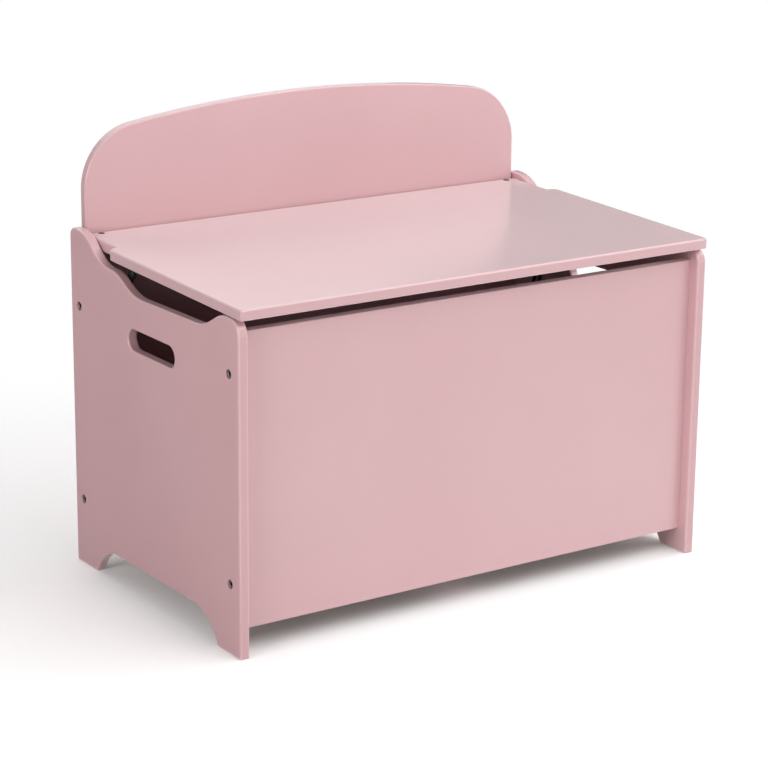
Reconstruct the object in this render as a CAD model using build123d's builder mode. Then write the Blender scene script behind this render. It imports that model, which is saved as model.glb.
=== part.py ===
from build123d import *
from math import asin, atan2, cos, hypot, radians, sin, sqrt, tan
import os

os.makedirs("parts", exist_ok=True)

# Toy box of painted boards with a hinged lid and an arched backrest, in millimetres.
# X runs along the width, the front faces -Y, +Z is up and Z = 0 is the floor.

# Boards
overall_width = 768.0
panel_depth = 453.0  # side panels, front edge to rear edge
board = 15.0
board_edge_radius = 3.0
inner_edge_radius = 1.0

# Side panel outline: drops are measured down from the hump at the front
hump_height = 453.5
hump_flat = 14.5
hump_slope = 28.5  # degrees
hump_corner_radius = 20.0
hump_back_radius = 45.0
dip_front_drop = 24.5
dip_front_radius = 85.0
dip_rear_drop = 27.0
dip_rear_radius = 88.0
ledge_drop = 2.4
ledge_flat = 1.0
ledge_slope = 27.0
ledge_front_radius = 72.0
ledge_rear_radius = 68.0
ear_above_pivot = 16.5
ear_flat = 4.5
ear_slope = 42.0
ear_front_radius = 70.0
ear_rear_radius = 12.0
foot_length = 57.0
foot_lean = 29.0
foot_straight = 16.2
arch_height = 41.5

# Hand holes
hand_hole_length = 126.0
hand_hole_height = 30.0
hand_hole_drop = 87.0  # hump top down to the hole's middle
hand_hole_edge_radius = 2.5

# Front panel, back panel, floor and rail
front_inset = 16.5  # side panel's front edge to the front panel's face
back_inset = 16.5
front_panel_drop = 18.0  # hump top down to the front panel's top
toe_height = 35.5
floor_thickness = 5.0
floor_play = 0.3
groove_depth = 5.0
rail_width = 60.0
rail_thickness = 14.5

# Lid
lid_overhang = 4.0
lid_side_setback = 2.0
lid_tilt = 1.46  # degrees, rear edge higher
lid_front_radius = 4.0
lid_lower_edge_radius = 1.5
lid_rear_reach = 7.5  # pivot axis to the lid's rear edge
lid_swing_clearance = 1.1
lid_open_angle = 91.5
tongue_length = 86.0
tongue_gap = 1.2
tongue_corner_radius = 2.0
shoulder_straight = 2.2
back_panel_clearance = 2.2

# Backrest
backrest_rise = 197.0  # hump top up to the arch's top
backrest_overlap = 85.0  # down over the back panel
backrest_crown = 36.5
backrest_corner_radius = 90.0
backrest_gap = 2.0

# Bumper pads on the humps
bumper_radius = 4.0
bumper_thickness = 1.2
bumper_gap = 0.3

# M6 connector bolts with barrel nuts
bolt_radius = 3.0
bolt_hole_play = 0.4
bolt_head_radius = 5.0
bolt_head_height = 5.0
bolt_head_sink = 1.2
bolt_socket_flats = 5.0
bolt_socket_depth = 3.0
bolt_past_nut = 2.0
bolt_washer_radius = 6.0
bolt_washer_thickness = 1.0
bolt_washer_play = 0.4
bolt_upper_drop = 73.0  # hump top down to the upper bolts
bolt_lower_z = 98.0
barrel_radius = 5.0
barrel_hole_play = 0.1
barrel_from_end = 33.0
barrel_skin = 1.8  # wood left between barrel nut and board face
barrel_slot_width = 1.2
barrel_slot_depth = 1.0

# Dowels
dowel_radius = 4.0
dowel_length = 30.0
dowel_skin = 5.0  # wood left behind a dowel's end in a board's face
dowel_hole_play = 0.1
dowel_end_play = 0.4
rail_dowel_spacing = 36.0

# Pivot pins and flanged bushings
pin_radius = 4.0
pin_running_clearance = 0.04
pin_end_play = 0.5
pin_in_lid = 12.0
pin_thread_radius = 3.0
pin_past_nut = 3.0
pin_socket_flats = 4.0
pin_socket_depth = 4.0
pin_nut_from_edge = 19.0
bushing_wall = 2.0
bushing_length = 10.0
bushing_end_play = 0.5
bushing_flange_width = 2.0
bushing_flange_thickness = 0.8

# Lid stays: a slotted arm hangs from the lid and slides on a stud in the side panel.
# Rivet and stud lie at one distance from the lid's pivot, so the arm turns half as fast.
stay_radius = 118.0
stay_closed_angle = 28.0
stay_rivet_drop = 13.0  # below the lid's underside
steel = 2.0
stay_play = 0.1
arm_width = 14.0
arm_end = 10.0
arm_slot_play = 0.2
arm_slot_end_play = 0.5
stud_radius = 3.0
stud_past_nut = 1.6
friction_washer_radius = 8.0
friction_washer_thickness = 1.0
spring_washer_radius = 7.0
spring_washer_thickness = 1.2
locknut_flats = 10.0
locknut_height = 5.0
side_plate_length = 48.0
side_plate_height = 20.0
side_plate_screw_spacing = 30.0
rivet_radius = 2.5
rivet_clearance = 0.07
rivet_head_radius = 4.5
rivet_head_height = 1.3
bracket_gap = 0.3
bracket_length = 50.0
bracket_flange_width = 22.0
bracket_nose_radius = 8.0
bracket_screw_spacing = 32.0

# Countersunk wood screws
screw_radius = 2.0
screw_head_radius = 3.6
screw_head_height = 1.6
screw_recess_width = 1.0
screw_recess_length = 3.6
screw_recess_depth = 1.1
stay_screw_length = 12.0
backrest_screw_skin = 5.0  # wood left past the screw's tip
backrest_screw_columns = 4
backrest_screw_from_side = 67.0
backrest_screw_rows = 2
backrest_screw_row_pitch = 40.0
floor_screw_bite = 9.0
floor_screw_count = 3
floor_screw_from_end = 75.0

# Boards' places worked out from the sizes above
front_y = lid_overhang - (panel_depth + lid_overhang) / 2
rear_y = front_y + panel_depth
middle_y = (front_y + rear_y) / 2
outer_x = overall_width / 2
inner_x = outer_x - board
front_panel_y = front_y + front_inset + board / 2
back_panel_y = rear_y - back_inset - board / 2
inside_front_y = front_panel_y + board / 2
inside_back_y = back_panel_y - board / 2
inside_depth = inside_back_y - inside_front_y
inside_middle_y = (inside_front_y + inside_back_y) / 2
backrest_y = back_panel_y + board / 2  # front face of the backrest
front_panel_top = hump_height - front_panel_drop
floor_z = toe_height + rail_thickness
groove_height = floor_thickness + floor_play
floor_reach = groove_depth - floor_play

# Lid's pivot, high enough for the tilted lid to lie just above the bumpers
corner_sweep = hypot(lid_rear_reach - board_edge_radius, board / 2 - board_edge_radius) + board_edge_radius
pivot_y = backrest_y - corner_sweep - lid_swing_clearance
tilt = radians(lid_tilt)
bumper_y = front_y + hump_corner_radius + hump_flat / 2
bumper_top = hump_height + bumper_thickness
lid_run = pivot_y - bumper_y + bumper_radius
pivot_z = bumper_top + bumper_gap + lid_run * tan(tilt) + board / 2 / cos(tilt)
back_panel_top = pivot_z - hypot(lid_rear_reach, board / 2) - back_panel_clearance
tongue_x = inner_x - tongue_gap
lid_half_width = outer_x - lid_side_setback
lid_front = -(pivot_y - front_y + lid_overhang) / cos(tilt)
shoulder_y = lid_rear_reach - tongue_length

# Backrest
backrest_x = inner_x - backrest_gap
backrest_top = hump_height + backrest_rise
backrest_bottom = back_panel_top - backrest_overlap
backrest_shoulder = backrest_top - backrest_crown

# Fasteners
bolt_upper_z = hump_height - bolt_upper_drop
bolt_hole_radius = bolt_radius + bolt_hole_play
bolt_recess_radius = bolt_washer_radius + bolt_washer_play
bolt_recess_depth = bolt_washer_thickness + bolt_head_height + bolt_head_sink
bolt_reach = barrel_from_end + barrel_radius + bolt_past_nut
barrel_length = board - 2 * barrel_skin
barrel_x = inner_x - barrel_from_end
dowel_step = (bolt_upper_z - bolt_lower_z) / 3
dowel_in_face = board - dowel_skin
dowel_in_end = dowel_length - dowel_in_face
dowel_hole_radius = dowel_radius + dowel_hole_play
pin_in_bushing = bushing_length - pin_end_play
pin_thread_length = pin_nut_from_edge + barrel_radius + pin_past_nut - pin_in_lid
pin_nut_x = tongue_x - pin_nut_from_edge
bushing_radius = pin_radius + bushing_wall
backrest_screw_z = (backrest_bottom + back_panel_top) / 2
backrest_screw_length = 2 * board - backrest_screw_skin
backrest_screw_pitch = 2 * (backrest_x - backrest_screw_from_side) / (backrest_screw_columns - 1)
floor_screw_length = floor_thickness + floor_screw_bite
floor_screw_pitch = (inside_depth - 2 * floor_screw_from_end) / (floor_screw_count - 1)

# Lid stays: distances counted inwards from a side panel's inner face, and turning points
arm_out = steel + friction_washer_thickness + stay_play
arm_in = arm_out + steel
bracket_out = arm_in + bracket_gap
inner_washer = arm_in + stay_play
spring_seat = inner_washer + friction_washer_thickness
nut_seat = spring_seat + spring_washer_thickness
stud_length = nut_seat + locknut_height + stud_past_nut
bracket_screw_x = inner_x - bracket_out - (bracket_flange_width + steel) / 2
rivet_drop = board / 2 + stay_rivet_drop
rivet_back = -sqrt(stay_radius**2 - rivet_drop**2)
rivet_angle = asin(rivet_drop / stay_radius) + tilt
stud_angle = rivet_angle + radians(stay_closed_angle)
rivet_y = pivot_y - stay_radius * cos(rivet_angle)
rivet_z = pivot_z - stay_radius * sin(rivet_angle)
stud_y = pivot_y - stay_radius * cos(stud_angle)
stud_z = pivot_z - stay_radius * sin(stud_angle)
slot_half_width = stud_radius + arm_slot_play
slot_end = slot_half_width + arm_slot_end_play
slot_start = 2 * stay_radius * sin(radians(stay_closed_angle) / 2) - slot_end
slot_stop = 2 * stay_radius * sin(radians(stay_closed_angle + lid_open_angle) / 2) + slot_end
arm_start = -arm_width / 2
arm_stop = slot_stop + arm_end - slot_half_width

from_base = (Align.CENTER, Align.CENTER, Align.MIN)
lid_plane = Plane(origin=(0, pivot_y, pivot_z), x_dir=(1, 0, 0), z_dir=(0, -sin(tilt), cos(tilt)))
lid_top = lid_plane.offset(board / 2)
lid_underside = lid_plane.offset(-board / 2)
bracket_underside = lid_underside.offset(-steel)
backrest_rear = Plane.XZ.offset(-(backrest_y + board))
floor_top = Plane(origin=(0, inside_middle_y, floor_z + floor_thickness), z_dir=(0, 0, -1))


def side_view(x):
    """Plane across the width at x: local x is +Y, local y is +Z."""
    return Plane(origin=(x, 0, 0), x_dir=(0, 1, 0), z_dir=(1, 0, 0))


def front_view(y):
    """Plane across the depth at y: local x is +X, local y is +Z, and it faces the front."""
    return Plane.XZ.offset(-y)


def inside(side, distance):
    """Side view plane at a distance in from a side panel's inner face."""
    return side_view(side * (inner_x - distance))


def lid_side_view(x):
    """Plane across the width at x, in line with the lid and centred on its pivot."""
    return Plane(origin=(x, pivot_y, pivot_z), x_dir=lid_plane.y_dir, z_dir=(1, 0, 0))


def facing(side, x, point):
    """Plane at a side panel's (y, z) point, facing away from the box's middle."""
    return Plane(origin=(x, *point), x_dir=(0, side, 0), z_dir=(side, 0, 0))


def spread(middle, distance, height):
    """Two points at one height, half the distance to each side of the middle."""
    return [(middle + offset, height) for offset in (-distance / 2, distance / 2)]


def save(piece, label):
    """Label a finished piece and write its STEP file."""
    piece.label = label
    export_step(piece, f"parts/{label}.step")


def add_screw(length):
    """Countersunk cross-recess screw: head in the local XY plane, shank along local +Z."""
    Cylinder(screw_radius, length, align=from_base)
    Cone(screw_head_radius, screw_radius, screw_head_height, align=from_base)
    recess = (screw_recess_length, screw_recess_width)
    Box(*recess, screw_recess_depth, align=from_base, mode=Mode.SUBTRACT)
    Box(*reversed(recess), screw_recess_depth, align=from_base, mode=Mode.SUBTRACT)


def cut_screw_hole(length):
    """Hole with a countersink that takes add_screw's head flush."""
    Cylinder(screw_radius, length, align=from_base, mode=Mode.SUBTRACT)
    Cone(screw_head_radius, screw_radius, screw_head_height, align=from_base, mode=Mode.SUBTRACT)


def cut_pilot(start, stop):
    """Pilot hole for a screw's shank between two depths below the local XY plane."""
    with Locations((0, 0, start)):
        Cylinder(screw_radius, stop - start, align=from_base, mode=Mode.SUBTRACT)


# Side panel's outline, up the front and back along the floor, with each corner's radius
ledge_height = hump_height - ledge_drop
ear_height = pivot_z + ear_above_pivot
ear_turn = tan(radians(ear_slope / 2))
ledge_turn = tan(radians(ledge_slope / 2))
hump_back_y = front_y + hump_corner_radius + hump_flat + hump_back_radius * tan(radians(hump_slope / 2))
dip_front_y = hump_back_y + dip_front_drop / tan(radians(hump_slope))
ear_front_y = rear_y - ear_rear_radius - ear_flat - ear_front_radius * ear_turn
ledge_rear_y = ear_front_y - (ear_height - ledge_height) / tan(radians(ear_slope))
ledge_front_y = ledge_rear_y - ledge_flat - ledge_front_radius * ledge_turn - ledge_rear_radius * ear_turn
dip_rear_y = ledge_front_y - (dip_rear_drop - ledge_drop) / tan(radians(ledge_slope))
arch_turn = tan(atan2(arch_height, foot_lean) / 2)
arch_radius = (hypot(foot_lean, arch_height) - foot_straight) / arch_turn
side_corners = [
    ((front_y, 0), 0),
    ((front_y, hump_height), hump_corner_radius),
    ((hump_back_y, hump_height), hump_back_radius),
    ((dip_front_y, hump_height - dip_front_drop), dip_front_radius),
    ((dip_rear_y, hump_height - dip_rear_drop), dip_rear_radius),
    ((ledge_front_y, ledge_height), ledge_front_radius),
    ((ledge_rear_y, ledge_height), ledge_rear_radius),
    ((ear_front_y, ear_height), ear_front_radius),
    ((rear_y, ear_height), ear_rear_radius),
    ((rear_y, 0), 0),
    ((rear_y - foot_length, 0), 0),
    ((rear_y - foot_length - foot_lean, arch_height), arch_radius),
    ((front_y + foot_length + foot_lean, arch_height), arch_radius),
    ((front_y + foot_length, 0), 0),
]
side_points = [point for point, radius in side_corners]
side_radii = [radius for point, radius in side_corners]
bolt_heights = (bolt_lower_z, bolt_upper_z)
dowel_heights = (bolt_lower_z + dowel_step, bolt_upper_z - dowel_step)
bolt_points = [(y, z) for y in (front_panel_y, back_panel_y) for z in bolt_heights]
dowel_points = [(y, z) for y in (front_panel_y, back_panel_y) for z in dowel_heights]
side_plate_screw_points = spread(stud_y, side_plate_screw_spacing, stud_z)

# Side panels
for side_name, side in (("left", -1), ("right", 1)):
    with BuildPart() as side_panel:
        with BuildSketch(inside(side, 0)):
            with BuildLine():
                FilletPolyline(*side_points, radius=side_radii, close=True)
            make_face()
        extrude(amount=side * board)
        for end in (0, -1):
            fillet(side_panel.faces().sort_by(Axis.X)[end].outer_wire().edges(), radius=board_edge_radius)
        with BuildSketch(inside(side, 0)):
            with Locations((middle_y, hump_height - hand_hole_drop)):
                SlotOverall(hand_hole_length, hand_hole_height)
        extrude(amount=side * board, mode=Mode.SUBTRACT)
        for end in (0, -1):
            rim = side_panel.faces().sort_by(Axis.X)[end].inner_wires()[0]
            fillet(rim.edges(), radius=hand_hole_edge_radius)
        for point in bolt_points:
            with Locations(facing(side, side * outer_x, point)):
                CounterBoreHole(bolt_hole_radius, bolt_recess_radius, bolt_recess_depth, depth=board)
        with BuildSketch(inside(side, 0)):
            with Locations(*dowel_points):
                Circle(dowel_hole_radius)
        extrude(amount=side * (dowel_in_face + dowel_end_play), mode=Mode.SUBTRACT)
        with BuildSketch(inside(side, 0)):
            with Locations((pivot_y, pivot_z)):
                Circle(bushing_radius)
        extrude(amount=side * (bushing_length + bushing_end_play), mode=Mode.SUBTRACT)
        with BuildSketch(inside(side, 0)):
            with Locations((inside_middle_y, floor_z + groove_height / 2)):
                Rectangle(inside_depth + 2 * groove_depth, groove_height)
        extrude(amount=side * groove_depth, mode=Mode.SUBTRACT)
        for point in side_plate_screw_points:
            with Locations(facing(side, side * (inner_x - steel), point)):
                cut_pilot(steel, stay_screw_length)
    save(side_panel.part, f"{side_name}_side_panel")

# Front and back panels, each grooved inside for the floor, with their barrel nuts and dowels
rail_dowel_points = spread(0, rail_dowel_spacing, floor_z - rail_thickness / 2)
barrel_points = [point for z in bolt_heights for point in spread(0, 2 * barrel_x, z)]
for panel_name, y, top, inward in (
    ("front", front_panel_y, front_panel_top, 1),
    ("back", back_panel_y, back_panel_top, -1),
):
    inside_face = front_view(y + inward * board / 2)
    with BuildPart() as cross_panel:
        with BuildSketch(Plane.XY.offset(toe_height)):
            with Locations((0, y)):
                Rectangle(2 * inner_x, board)
        extrude(amount=top - toe_height)
        fillet(cross_panel.faces().sort_by(Axis.Z)[-1].edges().filter_by(Axis.X), radius=inner_edge_radius)
        with BuildSketch(inside_face):
            with Locations((0, floor_z + groove_height / 2)):
                Rectangle(2 * inner_x, groove_height)
        extrude(amount=inward * groove_depth, mode=Mode.SUBTRACT)
        with BuildSketch(inside_face):
            with Locations(*rail_dowel_points):
                Circle(dowel_hole_radius)
        extrude(amount=inward * (dowel_in_face + dowel_end_play), mode=Mode.SUBTRACT)
        with BuildSketch(inside_face):
            with Locations(*barrel_points):
                Circle(barrel_radius + barrel_hole_play)
        extrude(amount=inward * (board - barrel_skin), mode=Mode.SUBTRACT)
        for side in (-1, 1):
            with BuildSketch(inside(side, 0)):
                with Locations(*[(y, z) for z in bolt_heights]):
                    Circle(bolt_radius)
            extrude(amount=-side * (bolt_reach + dowel_end_play), mode=Mode.SUBTRACT)
            with BuildSketch(inside(side, 0)):
                with Locations(*[(y, z) for z in dowel_heights]):
                    Circle(dowel_hole_radius)
            extrude(amount=-side * (dowel_in_end + dowel_end_play), mode=Mode.SUBTRACT)
        if panel_name == "back":
            with Locations(backrest_rear):
                with Locations((0, backrest_screw_z)):
                    with GridLocations(backrest_screw_pitch, backrest_screw_row_pitch,
                                       backrest_screw_columns, backrest_screw_rows):
                        cut_pilot(board, backrest_screw_length)
    save(cross_panel.part, f"{panel_name}_panel")

    with BuildPart() as barrel_nuts:
        with BuildSketch(front_view(y - barrel_length / 2)):
            with Locations(*barrel_points):
                Circle(barrel_radius)
        extrude(amount=-barrel_length)
        with BuildSketch(side_view(-inner_x)):
            with Locations(*[(y, z) for z in bolt_heights]):
                Circle(bolt_radius)
        extrude(amount=2 * inner_x, mode=Mode.SUBTRACT)
    save(barrel_nuts.part, f"{panel_name}_panel_barrel_nuts")

    with BuildPart() as dowels:
        for side in (-1, 1):
            with BuildSketch(inside(side, -dowel_in_face)):
                with Locations(*[(y, z) for z in dowel_heights]):
                    Circle(dowel_radius)
            extrude(amount=-side * dowel_length)
    save(dowels.part, f"{panel_name}_panel_dowels")

# Floor board, let into grooves all round
with BuildPart() as floor_board:
    with BuildSketch(Plane.XY.offset(floor_z)):
        with Locations((0, inside_middle_y)):
            Rectangle(2 * (inner_x + floor_reach), inside_depth + 2 * floor_reach)
    extrude(amount=floor_thickness)
    with Locations(floor_top):
        with GridLocations(0, floor_screw_pitch, 1, floor_screw_count):
            cut_screw_hole(floor_thickness)
save(floor_board.part, "floor_board")

# Rail that carries the middle of the floor board, with its dowels and screws
with BuildPart() as floor_rail:
    with BuildSketch(Plane.XY.offset(toe_height)):
        with Locations((0, inside_middle_y)):
            Rectangle(rail_width, inside_depth)
    extrude(amount=rail_thickness)
    with Locations(floor_top):
        with GridLocations(0, floor_screw_pitch, 1, floor_screw_count):
            cut_pilot(floor_thickness, floor_screw_length)
    for y, inward in ((inside_front_y, 1), (inside_back_y, -1)):
        with BuildSketch(front_view(y)):
            with Locations(*rail_dowel_points):
                Circle(dowel_hole_radius)
        extrude(amount=-inward * (dowel_in_end + dowel_end_play), mode=Mode.SUBTRACT)
save(floor_rail.part, "floor_rail")

with BuildPart() as rail_dowels:
    for y, inward in ((inside_front_y, 1), (inside_back_y, -1)):
        with BuildSketch(front_view(y - inward * dowel_in_face)):
            with Locations(*rail_dowel_points):
                Circle(dowel_radius)
        extrude(amount=-inward * dowel_length)
save(rail_dowels.part, "rail_dowels")

with BuildPart() as floor_screws:
    with Locations(floor_top):
        with GridLocations(0, floor_screw_pitch, 1, floor_screw_count):
            add_screw(floor_screw_length)
save(floor_screws.part, "floor_screws")

# Backrest, screwed to the back panel from behind
with BuildPart() as backrest:
    with BuildSketch(front_view(backrest_y)) as backrest_face:
        with BuildLine():
            left_end = (-backrest_x, backrest_shoulder)
            right_end = (backrest_x, backrest_shoulder)
            Polyline(right_end, (backrest_x, backrest_bottom), (-backrest_x, backrest_bottom), left_end)
            ThreePointArc(left_end, (0, backrest_top), right_end)
        make_face()
        fillet(backrest_face.vertices().group_by(Axis.Y)[-1], radius=backrest_corner_radius)
    extrude(amount=-board)
    for end in (0, -1):
        fillet(backrest.faces().sort_by(Axis.Y)[end].outer_wire().edges(), radius=board_edge_radius)
    with Locations(backrest_rear):
        with Locations((0, backrest_screw_z)):
            with GridLocations(backrest_screw_pitch, backrest_screw_row_pitch,
                               backrest_screw_columns, backrest_screw_rows):
                cut_screw_hole(board)
save(backrest.part, "backrest")

with BuildPart() as backrest_screws:
    with Locations(backrest_rear):
        with Locations((0, backrest_screw_z)):
            with GridLocations(backrest_screw_pitch, backrest_screw_row_pitch,
                               backrest_screw_columns, backrest_screw_rows):
                add_screw(backrest_screw_length)
save(backrest_screws.part, "backrest_screws")

# Lid: a board whose narrower rear tongue turns between the side panels' ears
shoulder_radius = lid_half_width - tongue_x - shoulder_straight
lid_corners = [
    ((-lid_half_width, lid_front), lid_front_radius),
    ((lid_half_width, lid_front), lid_front_radius),
    ((lid_half_width, shoulder_y), shoulder_radius),
    ((tongue_x, shoulder_y), 0),
    ((tongue_x, lid_rear_reach), tongue_corner_radius),
    ((-tongue_x, lid_rear_reach), tongue_corner_radius),
    ((-tongue_x, shoulder_y), 0),
    ((-lid_half_width, shoulder_y), shoulder_radius),
]
lid_points = [point for point, radius in lid_corners]
lid_radii = [radius for point, radius in lid_corners]
pin_nut_points = spread(0, 2 * pin_nut_x, 0)
with BuildPart() as lid:
    with BuildSketch(lid_underside):
        with BuildLine():
            FilletPolyline(*lid_points, radius=lid_radii, close=True)
        make_face()
    extrude(amount=board)
    for end, radius in ((-1, board_edge_radius), (0, lid_lower_edge_radius)):
        broad_face = lid.faces().sort_by(SortBy.AREA)[-2:].sort_by(Axis.Z)[end]
        fillet(broad_face.outer_wire().edges(), radius=radius)
    with BuildSketch(lid_top):
        with Locations(*pin_nut_points):
            Circle(barrel_radius + barrel_hole_play)
    extrude(amount=-(board - barrel_skin), mode=Mode.SUBTRACT)
    for side in (-1, 1):
        for radius, depth in ((pin_radius, pin_in_lid), (pin_thread_radius, pin_in_lid + pin_thread_length)):
            with BuildSketch(lid_side_view(side * tongue_x)):
                Circle(radius)
            extrude(amount=-side * depth, mode=Mode.SUBTRACT)
        with Locations(bracket_underside):
            with Locations((side * bracket_screw_x, rivet_back)):
                with GridLocations(0, bracket_screw_spacing, 1, 2):
                    cut_pilot(steel, stay_screw_length)
save(lid.part, "lid")

with BuildPart() as lid_barrel_nuts:
    with BuildSketch(lid_top.offset(-barrel_skin)):
        with Locations(*pin_nut_points):
            Circle(barrel_radius)
    extrude(amount=-barrel_length)
    with BuildSketch(lid_top.offset(-barrel_skin)):
        with Locations(*pin_nut_points):
            Rectangle(2 * barrel_radius, barrel_slot_width)
    extrude(amount=-barrel_slot_depth, mode=Mode.SUBTRACT)
    with BuildSketch(lid_side_view(-inner_x)):
        Circle(pin_thread_radius)
    extrude(amount=2 * inner_x, mode=Mode.SUBTRACT)
save(lid_barrel_nuts.part, "lid_barrel_nuts")

# Bumper pads that the lid comes down on
with BuildPart() as lid_bumpers:
    with BuildSketch(Plane.XY.offset(hump_height)):
        with Locations(*spread(0, 2 * inner_x + board, bumper_y)):
            Circle(bumper_radius)
    extrude(amount=bumper_thickness)
save(lid_bumpers.part, "lid_bumpers")

# Left and right hardware
for side_name, side in (("left", -1), ("right", 1)):

    # Connector bolts and their washers
    washer_seat = outer_x - bolt_recess_depth
    head_seat = washer_seat + bolt_washer_thickness
    with BuildPart() as panel_bolts:
        with BuildSketch(side_view(side * head_seat)):
            with Locations(*bolt_points):
                Circle(bolt_head_radius)
        extrude(amount=side * bolt_head_height)
        with BuildSketch(side_view(side * head_seat)):
            with Locations(*bolt_points):
                Circle(bolt_radius)
        extrude(amount=-side * (head_seat - inner_x + bolt_reach))
        with BuildSketch(side_view(side * (head_seat + bolt_head_height))):
            with Locations(*bolt_points):
                RegularPolygon(bolt_socket_flats / 2, 6, major_radius=False)
        extrude(amount=-side * bolt_socket_depth, mode=Mode.SUBTRACT)
    save(panel_bolts.part, f"{side_name}_panel_bolts")

    with BuildPart() as bolt_washers:
        with BuildSketch(side_view(side * washer_seat)):
            with Locations(*bolt_points):
                Circle(bolt_washer_radius)
                Circle(bolt_hole_radius, mode=Mode.SUBTRACT)
        extrude(amount=side * bolt_washer_thickness)
    save(bolt_washers.part, f"{side_name}_bolt_washers")

    # Lid pivot: flanged bushing in the side panel
    with BuildPart() as bushing:
        with BuildSketch(inside(side, bushing_flange_thickness)):
            with Locations((pivot_y, pivot_z)):
                Circle(bushing_radius + bushing_flange_width)
        extrude(amount=side * bushing_flange_thickness)
        with BuildSketch(inside(side, 0)):
            with Locations((pivot_y, pivot_z)):
                Circle(bushing_radius)
        extrude(amount=side * bushing_length)
        with BuildSketch(inside(side, bushing_flange_thickness)):
            with Locations((pivot_y, pivot_z)):
                Circle(pin_radius + pin_running_clearance)
        extrude(amount=side * (bushing_flange_thickness + bushing_length), mode=Mode.SUBTRACT)
    save(bushing.part, f"{side_name}_pivot_bushing")

    # Pivot pin, screwed into the lid's barrel nut
    pin_tip = inner_x + pin_in_bushing
    pin_shoulder = tongue_x - pin_in_lid
    with BuildPart() as pivot_pin:
        with BuildSketch(lid_side_view(side * pin_shoulder)):
            Circle(pin_radius)
        extrude(amount=side * (pin_tip - pin_shoulder))
        with BuildSketch(lid_side_view(side * pin_shoulder)):
            Circle(pin_thread_radius)
        extrude(amount=-side * pin_thread_length)
        with BuildSketch(lid_side_view(side * pin_tip)):
            RegularPolygon(pin_socket_flats / 2, 6, major_radius=False)
        extrude(amount=-side * pin_socket_depth, mode=Mode.SUBTRACT)
    save(pivot_pin.part, f"{side_name}_pivot_pin")

    # Lid stay, fixed half: plate with its screws, then what is stacked on the stud
    with BuildPart() as side_plate:
        with BuildSketch(inside(side, 0)):
            with Locations((stud_y, stud_z)):
                SlotOverall(side_plate_length, side_plate_height)
                Circle(stud_radius, mode=Mode.SUBTRACT)
        extrude(amount=-side * steel)
        for point in side_plate_screw_points:
            with Locations(facing(side, side * (inner_x - steel), point)):
                cut_screw_hole(steel)
    save(side_plate.part, f"{side_name}_stay_side_plate")

    with BuildPart() as side_plate_screws:
        for point in side_plate_screw_points:
            with Locations(facing(side, side * (inner_x - steel), point)):
                add_screw(stay_screw_length)
    save(side_plate_screws.part, f"{side_name}_stay_side_screws")

    with BuildPart() as stud:
        with BuildSketch(inside(side, 0)):
            with Locations((stud_y, stud_z)):
                Circle(stud_radius)
        extrude(amount=-side * stud_length)
    save(stud.part, f"{side_name}_stay_stud")

    with BuildPart() as friction_washers:
        for start in (steel, inner_washer):
            with BuildSketch(inside(side, start)):
                with Locations((stud_y, stud_z)):
                    Circle(friction_washer_radius)
                    Circle(stud_radius, mode=Mode.SUBTRACT)
            extrude(amount=-side * friction_washer_thickness)
    save(friction_washers.part, f"{side_name}_stay_friction_washers")

    with BuildPart() as spring_washer:
        with BuildSketch(inside(side, spring_seat)):
            with Locations((stud_y, stud_z)):
                Circle(spring_washer_radius)
                Circle(stud_radius, mode=Mode.SUBTRACT)
        extrude(amount=-side * spring_washer_thickness)
        seat_face = spring_washer.faces().sort_by(Axis((0, 0, 0), (side, 0, 0)))[-1]
        chamfer(seat_face.outer_wire().edges(), length=spring_washer_thickness / 2)
    save(spring_washer.part, f"{side_name}_stay_spring_washer")

    with BuildPart() as locknut:
        with BuildSketch(inside(side, nut_seat)):
            with Locations((stud_y, stud_z)):
                RegularPolygon(locknut_flats / 2, 6, major_radius=False)
                Circle(stud_radius, mode=Mode.SUBTRACT)
        extrude(amount=-side * locknut_height)
    save(locknut.part, f"{side_name}_stay_locknut")

    # Lid stay, slotted arm: local x runs from the rivet to the stud
    arm_plane = Plane(
        origin=(side * (inner_x - arm_out), rivet_y, rivet_z),
        x_dir=(0, stud_y - rivet_y, stud_z - rivet_z),
        z_dir=(1, 0, 0),
    )
    with BuildPart() as stay_arm:
        with BuildSketch(arm_plane):
            with Locations(((arm_start + arm_stop) / 2, 0)):
                SlotOverall(arm_stop - arm_start, arm_width)
            with Locations(((slot_start + slot_stop) / 2, 0)):
                SlotOverall(slot_stop - slot_start, 2 * slot_half_width, mode=Mode.SUBTRACT)
            Circle(rivet_radius + rivet_clearance, mode=Mode.SUBTRACT)
        extrude(amount=-side * steel)
    save(stay_arm.part, f"{side_name}_stay_arm")

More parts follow.
